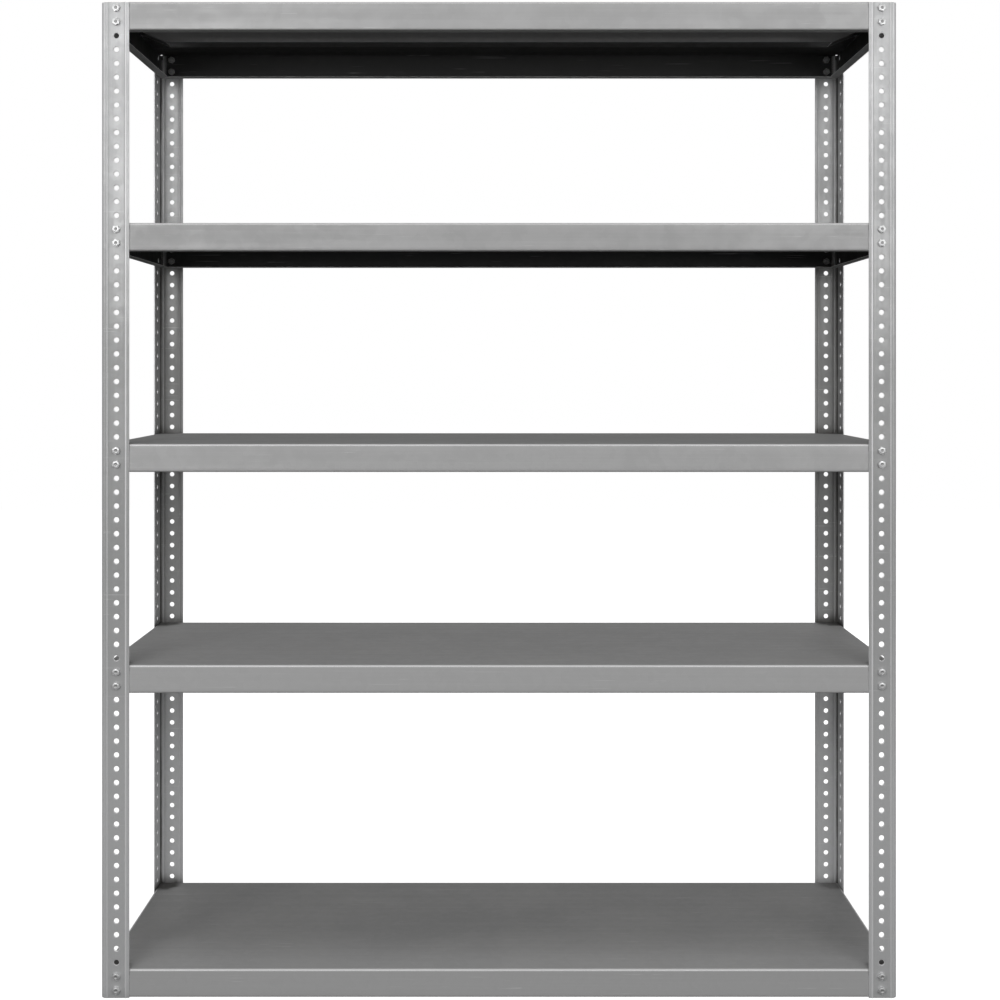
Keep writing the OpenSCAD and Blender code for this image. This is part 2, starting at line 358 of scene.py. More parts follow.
def noise(tree, vector, scale, detail=3.0, roughness=0.5):
    """Factor of a noise texture, about 0.5 on average."""
    made = add_node(tree, "ShaderNodeTexNoise", {"Vector": vector, "Scale": scale,
                                                 "Detail": detail, "Roughness": roughness})
    return made.outputs["Fac"]


def spread(tree, value, low, high, to_low=0.0, to_high=1.0):
    """value taken smoothly from the range low..high to the range to_low..to_high."""
    made = add_node(tree, "ShaderNodeMapRange",
                    {0: value, 1: low, 2: high, 3: to_low, 4: to_high},
                    interpolation_type="SMOOTHSTEP")
    return made.outputs[0]


def build_spangle():
    """Zinc crystals: cells with wavy borders, each with its own level, and a fine grain."""
    group, given, result = new_group(
        "zinc_spangle", {"Vector": (VECTOR, None), "Scale": (NUMBER, 90.0)}, ["Tone", "Grain"])
    vector, scale = given.outputs["Vector"], given.outputs["Scale"]
    wander = add_node(group, "ShaderNodeTexNoise", {"Vector": vector, "Scale": scale,
                                                    "Detail": 2.0}).outputs["Color"]
    amount = math_node(group, "DIVIDE", 0.9, scale)
    shift = add_node(group, "ShaderNodeVectorMath", {0: wander, "Scale": amount},
                     operation="SCALE").outputs[0]
    bent = add_node(group, "ShaderNodeVectorMath", {0: vector, 1: shift}).outputs[0]
    cells = add_node(group, "ShaderNodeTexVoronoi", {"Vector": bent, "Scale": scale})
    level = add_node(group, "ShaderNodeSeparateColor", {0: cells.outputs["Color"]}).outputs[0]
    fine = noise(group, vector, math_node(group, "MULTIPLY", scale, 9.0), 2.0)
    group.links.new(math_node(group, "MULTIPLY_ADD", level, 0.8, 0.1), result.inputs["Tone"])
    group.links.new(fine, result.inputs["Grain"])
    return group


def build_streaks():
    """Rolling streaks: two noises drawn out along the first axis of the vector."""
    group, given, result = new_group(
        "rolling_streaks", {"Vector": (VECTOR, None), "Length": (NUMBER, 0.5),
                            "Width": (NUMBER, 0.004)}, ["Streak"])
    axes = add_node(group, "ShaderNodeSeparateXYZ", {0: given.outputs["Vector"]}).outputs
    along = math_node(group, "DIVIDE", axes["X"], given.outputs["Length"])
    across = math_node(group, "DIVIDE", axes["Y"], given.outputs["Width"])
    third = math_node(group, "DIVIDE", axes["Z"], given.outputs["Width"])
    drawn = add_node(group, "ShaderNodeCombineXYZ", {0: along, 1: across, 2: third}).outputs[0]
    broad = noise(group, drawn, 0.35, 2.0)
    narrow = noise(group, drawn, 1.6, 3.0, 0.6)
    both = math_node(group, "MULTIPLY_ADD", narrow, 0.45, math_node(group, "MULTIPLY", broad, 0.55))
    group.links.new(spread(group, both, 0.32, 0.68), result.inputs["Streak"])
    return group


def build_handling():
    """Soft blotches left by hands and storage, and thin scratches in a few directions."""
    group, given, result = new_group("handling_marks", {"Vector": (VECTOR, None)},
                                     ["Blotch", "Scratch"])
    vector = given.outputs["Vector"]
    blotch = spread(group, noise(group, vector, 7.0, 4.0, 0.62), 0.36, 0.66)
    total = None
    for turn, seed in ((0.5, 1.3), (-0.7, 4.1), (1.3, 7.7)):
        turned = add_node(group, "ShaderNodeMapping",
                          {"Vector": vector, "Location": (seed, seed, seed),
                           "Rotation": (turn, turn * 0.6, turn), "Scale": (6.0, 420.0, 420.0)})
        thin = noise(group, turned.outputs[0], 1.0, 1.0)
        patch = spread(group, noise(group, vector, 11.0 + seed, 1.0), 0.52, 0.62)
        line = math_node(group, "MULTIPLY", spread(group, thin, 0.70, 0.76), patch)
        total = line if total is None else math_node(group, "MAXIMUM", total, line)
    group.links.new(blotch, result.inputs["Blotch"])
    group.links.new(total, result.inputs["Scratch"])
    return group


def build_dust():
    """Dust that settles where the surface faces up, thicker in drifts."""
    group, given, result = new_group("settled_dust", {"Vector": (VECTOR, None)}, ["Dust"])
    normal = add_node(group, "ShaderNodeNewGeometry").outputs["Normal"]
    up = add_node(group, "ShaderNodeSeparateXYZ", {0: normal}).outputs["Z"]
    drift = spread(group, noise(group, given.outputs["Vector"], 5.5, 5.0, 0.6), 0.30, 0.75)
    level = spread(group, up, 0.6, 0.95)
    group.links.new(math_node(group, "MULTIPLY", level, drift), result.inputs["Dust"])
    return group


spangle_group = build_spangle()
streak_group = build_streaks()
handling_group = build_handling()
dust_group = build_dust()


def use_group(tree, group, inputs):
    """Place a node group with its own inputs, and return its outputs."""
    made = tree.nodes.new("ShaderNodeGroup")
    made.node_tree = group
    for key, value in inputs.items():
        if isinstance(value, bpy.types.NodeSocket):
            tree.links.new(value, made.inputs[key])
        else:
            made.inputs[key].default_value = value
    return made.outputs


def blend_colour(tree, factor, first, second):
    """Colour between first, at factor 0, and second, at factor 1."""
    made = add_node(tree, "ShaderNodeMix", {0: factor, 6: first, 7: second}, data_type="RGBA")
    return made.outputs[2]


def tinted(colour):
    """Opaque colour, as a colour socket wants it."""
    return (*colour, 1.0)


scratch_strength = 0.25
dust_strength = 0.16
# Colours of the painted band of shade and of painted shade in corners and creases.
band_shade_colour = (0.20, 0.20, 0.195)
painted_shade_colour = (0.045, 0.042, 0.038)
dust_colour = (0.42, 0.41, 0.39)


def galvanised(name, dark, light, edge, darkened_colour, rough, streak_from, streak, spangle, metallic,
               band_shade_z=0.0, band_shade_reach=1.0, band_shade_most=0.0):
    """Zinc-coated sheet: crystals and rolling streaks between two greys, dulled by dust.

    streak_from is the Mapping rotation that lays the rolling direction on X, or None for
    the flat blank's own map. The "edge" mask brightens bends, bead crests and rims with a
    painted highlight, and sheared edges with wear. One mask lays painted shade in corners,
    creases and contacts; another takes the sheet towards its darkest colour, painted shade on
    insides and lower faces and a plain darkening elsewhere. A painted band of shade is
    strongest at its given height and gone at its reach above and below it.
    """
    made = bpy.data.materials.new(name)
    made.use_nodes = True
    tree = made.node_tree
    tree.nodes.clear()
    place = add_node(tree, "ShaderNodeTexCoord").outputs["Object"]
    if streak_from is None:
        rolled = add_node(tree, "ShaderNodeUVMap", uv_map="sheet").outputs["UV"]
    else:
        rolled = add_node(tree, "ShaderNodeMapping",
                          {"Vector": place, "Rotation": streak_from}).outputs[0]
    crystals = use_group(tree, spangle_group, {"Vector": place, "Scale": spangle})
    streaks = use_group(tree, streak_group, {"Vector": rolled, "Length": streak[0],
                                             "Width": streak[1]})
    marks = use_group(tree, handling_group, {"Vector": place})
    dust = use_group(tree, dust_group, {"Vector": place})["Dust"]
    # Painted highlight on bends, bead crests and rims; wear on sheared edges.
    wear_and_highlight = add_node(tree, "ShaderNodeAttribute", attribute_name="edge").outputs["Fac"]
    # Painted shade in corners, creases and where parts meet.
    painted_shade = add_node(tree, "ShaderNodeAttribute", attribute_name="painted_shade").outputs["Fac"]
    # Painted shade on insides and lower faces, plain darkening elsewhere.
    darkened = add_node(tree, "ShaderNodeAttribute", attribute_name="darkened").outputs["Fac"]

    tone = math_node(tree, "MULTIPLY", crystals["Tone"], 0.34)
    tone = math_node(tree, "MULTIPLY_ADD", streaks["Streak"], 0.36, tone)
    tone = math_node(tree, "MULTIPLY_ADD", marks["Blotch"], 0.30, tone)
    colour = blend_colour(tree, tone, tinted(dark), tinted(light))
    colour = blend_colour(tree, darkened, colour, tinted(darkened_colour))
    # A band of painted shade, darkest at one height.
    level = add_node(tree, "ShaderNodeSeparateXYZ", {0: place}).outputs["Z"]
    away = math_node(tree, "ABSOLUTE", math_node(tree, "SUBTRACT", level, band_shade_z), 0.0)
    band_shade = spread(tree, away, 0.10, band_shade_reach, band_shade_most, 0.0)
    colour = blend_colour(tree, band_shade, colour, tinted(band_shade_colour))
    # The edge mask brightens the colour: painted highlight and wear.
    broken = math_node(tree, "MULTIPLY_ADD", crystals["Grain"], 0.5, wear_and_highlight)
    colour = blend_colour(tree, spread(tree, broken, 0.45, 1.25, 0.0, 0.9), colour, tinted(edge))
    colour = blend_colour(tree, math_node(tree, "MULTIPLY", marks["Scratch"], scratch_strength),
                          colour, tinted(edge))
    # Painted shade, blended towards a near-black.
    shaded = math_node(tree, "MULTIPLY", painted_shade, math_node(tree, "ADD", marks["Blotch"], 0.6))
    colour = blend_colour(tree, spread(tree, shaded, 0.0, 1.1, 0.0, 0.9), colour,
                          tinted(painted_shade_colour))
    colour = blend_colour(tree, math_node(tree, "MULTIPLY", dust, dust_strength), colour,
                          tinted(dust_colour))
    shine = spread(tree, tone, 0.2, 0.8, rough + 0.07, rough - 0.07)
    shine = math_node(tree, "MULTIPLY_ADD", dust, 0.08, shine)
    height = math_node(tree, "MULTIPLY_ADD", crystals["Grain"], 0.6,
                       math_node(tree, "MULTIPLY", streaks["Streak"], 0.5))
    height = math_node(tree, "MULTIPLY_ADD", crystals["Tone"], 0.5, height)
    bump = add_node(tree, "ShaderNodeBump", {"Height": height, "Strength": 0.10,
                                             "Distance": 0.0006})
    metal = math_node(tree, "MULTIPLY_ADD", dust, -0.10, metallic)
    shader = add_node(tree, "ShaderNodeBsdfPrincipled",
                      {"Base Color": colour, "Metallic": metal, "Roughness": shine,
                       "Normal": bump.outputs[0]})
    add_node(tree, "ShaderNodeOutputMaterial", {"Surface": shader.outputs[0]})
    return made


# The posts carry a band of painted shade round mid-height.
post_steel = galvanised(
    "post_steel", dark=(0.63, 0.635, 0.64), light=(0.75, 0.755, 0.76), edge=(0.95, 0.95, 0.96),
    darkened_colour=(0.105, 0.102, 0.094), rough=0.44, streak_from=(0, math.radians(90), 0),
    streak=(0.30, 0.0035), spangle=95.0, metallic=0.30,
    band_shade_z=1.02, band_shade_reach=0.80, band_shade_most=0.50)


def bead_rise(along, heights=(bead_height, bead_height)):
    """Height of the beads at a distance from the outer corner: a raised cosine on each."""
    rise = np.zeros_like(along)
    for place, height in zip(bead_places, heights):
        phase = np.clip((along - place) / bead_width, -0.5, 0.5)
        rise += height * (1 + np.cos(2 * math.pi * phase)) / 2
    return rise


def end_rise(x, y):
    """Rounding of the sheared ends towards the bend, on a circle of radius post_corner.

    At a distance d from the outer corner, the larger of x and y, the end stands
    r - sqrt(r^2 - (r - d)^2) short of the full height.
    """
    short = post_corner - np.clip(np.maximum(x, y), 0, post_corner)
    return post_corner - np.sqrt(post_corner ** 2 - short ** 2)


def angle_section(u, depth, leg):
    """Place across the post of a point u along the outside and depth below it.

    u runs from one free edge over the bend to the other. The bend is a circle of radius
    post_bend - depth; on each leg the point stands depth - bead_rise inside the face.
    """
    straight = leg - post_bend
    turn = np.clip((u - straight) / post_bend, 0, math.pi / 2)
    before = np.maximum(straight - u, 0)
    after = np.maximum(u - straight - post_bend * math.pi / 2, 0)
    x = post_bend - (post_bend - depth) * np.sin(turn) + before
    y = post_bend - (post_bend - depth) * np.cos(turn) + after
    return x - (after > 0) * bead_rise(y), y - (before > 0) * bead_rise(x)


def post_lines(leg, height):
    """Grid lines round the section and up the post, and the centres of its holes."""
    straight = leg - post_bend
    whole = 2 * straight + post_bend * math.pi / 2
    margin = np.array([0, sheared_edge, 2.5 * sheared_edge])
    one_leg = lines(margin, cell_lines([leg - hole_inset], post_hole_cell),
                    *(leg - p + bead_width * np.linspace(-0.5, 0.5, 9) for p in bead_places))
    bend = straight + post_bend * np.linspace(0, math.pi / 2, 7)
    rows = np.arange(first_hole_z, height - post_hole_cell / 3, hole_pitch)
    holes = np.array([(u, z) for u in (leg - hole_inset, whole - leg + hole_inset) for z in rows])
    return (lines(one_leg, bend, whole - one_leg),
            lines(margin, height - margin, cell_lines(rows, post_hole_cell)), holes)


level_names = ("top", "upper", "middle", "lower", "bottom")


def build_post(place):
    """Angle folded from one flat, punched strip, and turned to face its corner of the unit.

    Painted shade lies at the foot, in the inner bend, and on the inside above and below each
    deck, falling off as exp(-distance / fade). The face legs' insides get painted shade bay by bay.
    """
    node = "post_" + place
    low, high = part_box(node)
    leg = high.x - low.x - bead_height
    height = high.z - low.z
    u_lines, v_lines, holes = post_lines(leg, height)
    skins = []
    for depth, rim, sign in ((0, punched_rim, 1), (post_gauge, inner_rim, -1)):
        u, v, drop, mask, faces = punched_sheet(u_lines, v_lines, holes, post_hole_cell,
                                                hole_radius, rim, lambda a, b: a == a)
        margin = np.minimum(np.minimum(u, u_lines[-1] - u), np.minimum(v, height - v))
        drop += np.maximum(sheared_edge - margin, 0)
        x, y = angle_section(u, depth + sign * drop, leg)
        end = end_rise(x, y)
        at_foot = np.maximum(1 - v / corner_blend, 0)
        at_top = np.maximum(1 - (height - v) / corner_blend, 0)
        z = v + end * (at_foot - at_top)
        skins.append(np.stack([x, y, z + low.z], -1))
    points, faces = thicken(*skins, faces)
    bend = np.abs(u - u_lines[-1] / 2) / (post_bend * math.pi / 4)
    along = np.max(skins[0][:, :2], axis=1)
    sheared = np.maximum(mask, margin < sheared_edge)
    # Painted highlight on the bend and bead crests; wear on rims and sheared edges.
    wear_and_highlight = np.maximum.reduce([sheared, bend_highlight * (bend < 1), bead_rise(along, bead_highlight)])
    right, rear = "right" in place, "rear" in place
    corner = np.array([high.x if right else low.x, high.y if rear else low.y])
    inwards = np.array([-1 if right else 1, -1 if rear else 1])
    points[:, :2] = corner + inwards * (points[:, :2] + bead_height)
    faces = turned_outwards(points, faces)
    # Painted shade at the foot, in the inner bend, and above and below each deck.
    painted_shade = foot_shade * np.exp(-points[:, 2] / foot_fade)
    inner_z = skins[1][:, 2]
    painted_shade[len(u):] += bend_shade * np.clip(bend_shade_width - bend, 0, 1)
    for level in level_names:
        under, deck = (corner.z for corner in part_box("shelf_" + level))
        below, above = under - inner_z, inner_z - deck
        near_deck = np.exp(-np.maximum(above, 0) / deck_shade_fade)
        painted_shade[len(u):] += (above > -deck_shade_fade) * near_deck
        painted_shade[len(u):] += under_deck_shade * (below > 0) * np.exp(-np.abs(below) / shade_fade)
    deck_tops = sorted(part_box("shelf_" + level)[1].z for level in level_names[1:-1])
    # Painted shade on the insides of the face legs, bay by bay; darker between the beads outside.
    face_leg = skins[1][:, 0] > skins[1][:, 1]
    inner_shade = np.take(bay_shade, np.searchsorted(deck_tops, inner_z)) * face_leg
    outer_darkening = between_beads_darkening * ((along > bead_places[0]) & (along < bead_places[1]))
    add_piece("angle_" + place, node, points, [faces], post_steel,
              {"edge": np.concatenate([wear_and_highlight, sheared]), "painted_shade": painted_shade,
               "darkened": np.concatenate([outer_darkening, inner_shade])})


for place in ("front_left", "front_right", "rear_left", "rear_right"):
    build_post(place)

# ---- Shelves -------------------------------------------------------------------------
# Five pans of 1.2 mm galvanised sheet. Each is one plus-shaped blank: the four arms fold
# down as flanges and then inwards as lips with mitred ends. Two punched holes at the ends
# of each flange line up with the holes of the posts.
shelf_gauge = 0.0012
shelf_bend = 0.0030
lip_width = 0.0200
corner_cut = 0.0050
bolt_drop = 0.0120
shelf_hole_cell = 0.0070
shelf_rim = 0.0004
shelf_sheared = 0.0003
side_gap = 0.0005
deck_step = 0.020
sag = 0.0004
stiff_half = 0.045

shelf_steel = galvanised(
    "shelf_steel", dark=(0.52, 0.52, 0.52), light=(0.58, 0.58, 0.58), edge=(0.95, 0.95, 0.95),
    darkened_colour=(0.06, 0.06, 0.06), rough=0.50, streak_from=None, streak=(0.60, 0.006),
    spangle=75.0, metallic=0.25)
# Painted shade, shelf by shelf, for how the light falls on each level.
shelf_shades = (0.03, 0.18, 0.07, 0.0, 0.0)
# Bottom deck darker but for a band along its front.
deck_rear_darkening = (0.0, 0.0, 0.0, 0.0, 0.40)
front_band_reach = 0.11
# Near-black painted shade on the whole underside.
underside_shade = 0.97
# Painted shade in the deck's corners by the posts.
corner_shade = 0.036
corner_shade_fade = 0.006


def fold(past, depth, height):
    """Out and down from the deck's edge of a point past along the arm and depth below it.

    The arm is a quarter circle, the level-faced flange, a second quarter circle and the
    lip. Also returns how far into the lip the point is.
    """
    arc = shelf_bend * math.pi / 2
    web = height - 2 * shelf_bend
    first = np.clip(past / shelf_bend, 0, math.pi / 2)
    second = np.clip((past - arc - web) / shelf_bend, 0, math.pi / 2)
    lip = np.maximum(past - 2 * arc - web, 0)
    radius = shelf_bend - depth
    out = radius * (np.sin(first) - 1 + np.cos(second)) - lip + np.minimum(past, 0)
    down = (shelf_bend - radius * np.cos(first) + np.clip(past - arc, 0, web)
            + radius * np.sin(second))
    return out, down, lip


def arm_lines(height):
    """Distances past the deck's edge of the grid lines on an arm, and of its two holes."""
    arc = shelf_bend * math.pi / 2
    web = height - 2 * shelf_bend
    end = 2 * arc + web + lip_width - shelf_bend
    holes = arc + bolt_drop - shelf_bend + np.array([0, hole_pitch])
    bend = np.linspace(0, arc, 6)
    lip = end - np.array([0.5 * (lip_width - shelf_bend), 0.0008, shelf_sheared, 0])
    return lines(bend, cell_lines(holes, shelf_hole_cell), arc + web + bend, lip), holes


def deck_sag(x, y, half_w, half_d, phase):
    """Slight dishing of the two bays between the channel and the flanges, zero round them."""
    bay = np.clip((np.abs(y) - stiff_half) / (half_d - stiff_half), 0, 1)
    along = np.clip(1 - (x / half_w) ** 2, 0, 1)
    wave = (np.sin(9.0 * x + phase) + 0.6 * np.sin(21.0 * x + 2.1 * phase + 3.0 * y)) / 1.6
    return sag * np.sin(math.pi * bay) ** 2 * along * wave


def build_shelf(level, phase, tone, rear_darkening):
    """Pan with painted shade of strength tone, and a deck that is darker but for its front band."""
    node = "shelf_" + level
    low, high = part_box(node)
    half_w, half_d, height = high.x, high.y, high.z - low.z
    bolt_x = half_w + post_gauge + side_gap - hole_inset
    bolt_y = half_d + post_gauge - hole_inset
    edge_x, edge_y = half_w - shelf_bend, half_d - shelf_bend
    past, hole_past = arm_lines(height)

    def across(edge, half, bolt):
        """Grid lines over one whole side of the blank, from lip to lip."""
        inner = bolt - shelf_hole_cell
        deck = np.linspace(-inner, inner, 2 * round(inner / deck_step) + 1)
        cut = half - corner_cut
        ends = np.array([cut - shelf_sheared, cut])
        cells = cell_lines([bolt, -bolt], shelf_hole_cell)
        return lines(deck, cells, ends, -ends, edge + past, -edge - past)

    a_lines, b_lines = across(edge_x, half_w, bolt_x), across(edge_y, half_d, bolt_y)
    signs = [(i, j) for i in (-1, 1) for j in (-1, 1)]
    holes = np.array([(i * (edge_x + p), j * bolt_y) for i, j in signs for p in hole_past]
                     + [(i * bolt_x, j * (edge_y + p)) for i, j in signs for p in hole_past])

    def blank(a, b):
        """Whether a place on the sheet is on the deck or on one of the four arms."""
        a, b = np.abs(a), np.abs(b)
        return (((a < edge_x) & (b < edge_y)) | ((a < half_w - corner_cut) & (b > edge_y))
                | ((a > edge_x) & (b < half_d - corner_cut)))

    skins = []
    for depth, rim, sign in ((0, shelf_rim, 1), (shelf_gauge, shelf_rim / 2, -1)):
        a, b, drop, mask, faces = punched_sheet(a_lines, b_lines, holes, shelf_hole_cell,
                                                hole_radius, rim, blank)
        far = np.abs(a), np.abs(b)
        on_arm_x, on_arm_y = far[0] > edge_x, far[1] > edge_y
        arm_y_margin = np.minimum(b_lines[-1] - far[1], half_w - corner_cut - far[0])
        arm_x_margin = np.minimum(a_lines[-1] - far[0], half_d - corner_cut - far[1])
        margin = np.where(on_arm_y, arm_y_margin, np.where(on_arm_x, arm_x_margin, 1.0))
        drop += np.clip(shelf_sheared - margin, 0, shelf_sheared)
        skin_depth = depth + sign * drop
        out_x, down_x, lip_x = fold(far[0] - edge_x, skin_depth, height)
        out_y, down_y, lip_y = fold(far[1] - edge_y, skin_depth, height)
        x = np.sign(a) * (edge_x + out_x) * (1 - lip_y / (half_w - corner_cut))
        y = np.sign(b) * (edge_y + out_y) * (1 - lip_x / (half_d - corner_cut))
        z = high.z - down_x - down_y + skin_depth + deck_sag(x, y, edge_x, edge_y, phase)
        skins.append(np.stack([x, y, z], -1))
    points, faces = thicken(*skins, faces)
    arc = shelf_bend * math.pi / 2
    # Painted highlight along the bends; wear on the rims and sheared edges.
    turn = [np.exp(-(((place - edge - arc / 2) / (0.7 * arc)) ** 2))
            for place, edge in zip(far, (edge_x, edge_y))]
    sheared = np.maximum(mask, margin < shelf_sheared)
    wear_and_highlight = np.maximum.reduce([sheared, turn[0], turn[1]])
    # Painted shade on the deck round the corners by the posts.
    corner = np.hypot(np.maximum(edge_x - far[0], 0), np.maximum(edge_y - far[1], 0))
    over_bends = (far[0] < edge_x + arc) & (far[1] < edge_y + arc)
    painted_shade = np.exp(-np.maximum(corner - corner_shade, 0) / corner_shade_fade) * over_bends
    # The deck is darker but for a band along its front.
    front_band = np.exp(-((b + edge_y) / front_band_reach) ** 2)
    # Each shelf's sheet gets its own painted shade.
    outer_darkening = tone + rear_darkening * ~(on_arm_x | on_arm_y) * (1 - front_band)
    # The underside gets near-black painted shade.
    add_piece("pan_" + level, node, points, [faces], shelf_steel,
              {"edge": np.concatenate([wear_and_highlight, sheared]), "painted_shade": np.tile(painted_shade, 2),
               "darkened": np.concatenate([outer_darkening, np.full(len(a), underside_shade)])},
              np.tile(np.stack([a, b], -1), (2, 1)))


for number, (level, tone, rear_darkening) in enumerate(zip(level_names, shelf_shades, deck_rear_darkening)):
    build_shelf(level, 1.7 * number, tone, rear_darkening)

# ---- Stiffening channels -------------------------------------------------------------
# One hat-shaped channel of 1.2 mm galvanised sheet lies under each deck, from end to end,
# spot-welded through its two flanges. Its ends are cut on a slant to clear the flanges.
channel_gauge = 0.0012
channel_bend = 0.0018
channel_flange = 0.0150
channel_lean = 0.0060
channel_snipe = 0.0650
tip_room = 0.010
channel_steps = 61

channel_steel = galvanised(
    "channel_steel", dark=(0.58, 0.58, 0.58), light=(0.66, 0.66, 0.66),
    edge=(0.80, 0.80, 0.80), darkened_colour=(0.09, 0.09, 0.09), rough=0.45, streak_from=None,
    streak=(0.60, 0.005), spangle=80.0, metallic=0.30)


def rounded_path(corners, radius, steps):
    """Points and left-hand normals along straight runs joined by arcs of one radius.

    An arc that turns by t starts radius tan(t / 2) before its corner, and its points turn
    about a centre that stands radius to the side of the run before it.
    """
    runs = np.diff(corners, axis=0)
    runs /= np.linalg.norm(runs, axis=1, keepdims=True)
    normals = np.stack([-runs[:, 1], runs[:, 0]], -1)
    points, sides = [corners[:1]], [normals[:1]]
    for k in range(1, len(corners) - 1):
        bend = math.atan2(np.cross(runs[k - 1], runs[k]), np.dot(runs[k - 1], runs[k]))
        hand = math.copysign(1.0, bend)
        start = corners[k] - runs[k - 1] * radius * math.tan(abs(bend) / 2)
        centre = start + normals[k - 1] * radius * hand
        turn = np.linspace(0, bend, steps)[:, None]
        normal = np.cos(turn) * normals[k - 1] - np.sin(turn) * runs[k - 1]
        points.append(centre - normal * radius * hand)
        sides.append(normal)
    return (np.concatenate(points + [corners[-1:]]), np.concatenate(sides + [normals[-1:]]))


def build_channel(level):
    """Hat section carried along X; near each end x is drawn in to the slanted cut.

    The skin that touches the deck comes first. The outer has painted shade on its lower face.
    """
    node = "channel_" + level
    low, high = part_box(node)
    half_t = channel_gauge / 2
    top, bottom = high.z - half_t, low.z + half_t
    wide = high.y - channel_flange - half_t
    narrow = wide - channel_lean
    half = np.array([(high.y, top), (wide, top), (narrow, bottom)])
    section, normal = rounded_path(np.concatenate([half, half[::-1] * (-1, 1)]), channel_bend, 6)
    arc = np.concatenate([[0], np.cumsum(np.linalg.norm(np.diff(section, axis=0), axis=1))])

    straight = high.x - channel_snipe - tip_room
    middle = np.linspace(-straight, straight, channel_steps)
    share = np.array([0.25, 0.5, 0.75, 0.96, 1.0])
    skins = []
    for side in (-half_t, half_t):
        y, z = (section + side * normal).T
        slope = channel_snipe / (high.z - low.z - channel_gauge)
        end = high.x - slope * np.maximum(high.z - channel_gauge - z, 0)
        tip = straight + share * (end[:, None] - straight)
        x = np.concatenate([-tip[:, ::-1], np.broadcast_to(middle, (len(y), len(middle))), tip], 1)
        skins.append(np.stack(np.broadcast_arrays(x, y[:, None], z[:, None]), -1).reshape(-1, 3))
    index = np.arange(x.size).reshape(x.shape)
    faces = np.stack([index[:-1, :-1], index[:-1, 1:], index[1:, 1:], index[1:, :-1]], -1)
    points, faces = thicken(*skins, faces.reshape(-1, 4))
    blank = np.stack([x, np.broadcast_to(arc[:, None], x.shape)], -1).reshape(-1, 2)
    edge = np.zeros(x.shape)
    edge[:, [0, -1]] = 1
    edge[[0, -1]] = 1
    # Painted shade on the lower face of the outer skin.
    below = (high.z - z) / (high.z - low.z)
    outer_darkening = np.repeat(np.clip((below - 0.94) / 0.05, 0, 1), x.shape[1])
    add_piece("hat_channel_" + level, node, points, [faces], channel_steel,
              {"edge": np.tile(edge.ravel(), 2), "painted_shade": np.zeros(2 * x.size),
               "darkened": np.concatenate([0 * outer_darkening, outer_darkening])},
              np.tile(blank, (2, 1)))


for level in level_names:
    build_channel(level)

# ---- Hex bolts -----------------------------------------------------------------------
# Forty 5/16 in bolts with forged hex heads, dished on top, and rolled threads, plated with
# bright zinc. Their heads stand outside the posts, two to a shelf corner.
bolt_radius = 0.00396875
head_flats = 0.0127
head_height = 0.0052
dish_radius = 0.0032
dish_depth = 0.0011
head_crown = 0.0005
level_share = 0.94
thread_pitch = 0.001411
thread_depth = 0.0007
thread_start = 0.0008
thread_end = 0.0009
thread_rows = 66
tip_chamfer = (0.00075, 0.0016)
turn_steps = 36
soft_edge = 0.00025
around = np.linspace(0, 2 * math.pi, turn_steps, endpoint=False)


def plated(name, dark, light, rough):
    """Bright zinc plate: brushed noise between two greys, painted shade in the dish and thread."""
    made = bpy.data.materials.new(name)
    made.use_nodes = True
    tree = made.node_tree
    tree.nodes.clear()
    place = add_node(tree, "ShaderNodeTexCoord").outputs["Object"]
    marks = use_group(tree, handling_group, {"Vector": place})
    crystals = use_group(tree, spangle_group, {"Vector": place, "Scale": 700.0})
    cloud = noise(tree, place, 130.0, 4.0)
    shade = add_node(tree, "ShaderNodeAttribute", attribute_name="hollow").outputs["Fac"]
    wear_and_highlight = add_node(tree, "ShaderNodeAttribute", attribute_name="edge").outputs["Fac"]
    tone = math_node(tree, "MULTIPLY_ADD", crystals["Tone"], 0.3,
                     math_node(tree, "MULTIPLY", cloud, 0.8))
    colour = blend_colour(tree, tone, tinted(dark), tinted(light))
    # Painted shade in the dish, the thread and the bore.
    colour = blend_colour(tree, math_node(tree, "MULTIPLY", shade, 0.45), colour,
                          tinted((0.16, 0.155, 0.15)))
    # Brightened edges: wear and painted highlight.
    colour = blend_colour(tree, math_node(tree, "MULTIPLY", wear_and_highlight, 0.7), colour,
                          tinted((0.92, 0.92, 0.91)))
    shine = math_node(tree, "MULTIPLY_ADD", marks["Blotch"], 0.10, rough)
    shine = math_node(tree, "MULTIPLY_ADD", shade, 0.20, shine)
    bump = add_node(tree, "ShaderNodeBump", {"Height": crystals["Grain"], "Strength": 0.15,
                                             "Distance": 0.0002})
    shader = add_node(tree, "ShaderNodeBsdfPrincipled",
                      {"Base Color": colour, "Metallic": 0.60, "Roughness": shine,
                       "Normal": bump.outputs[0]})
    add_node(tree, "ShaderNodeOutputMaterial", {"Surface": shader.outputs[0]})
    return made


bolt_zinc = plated("bolt_zinc", (0.68, 0.685, 0.69), (0.90, 0.905, 0.91), 0.27)


def hex_radius(flats, turn):
    """Distance to a hexagon's side at each angle: flats / 2 over the cosine from its middle."""
    sixth = math.pi / 3
    return flats / 2 / np.cos(np.mod(around + turn, sixth) - sixth / 2)


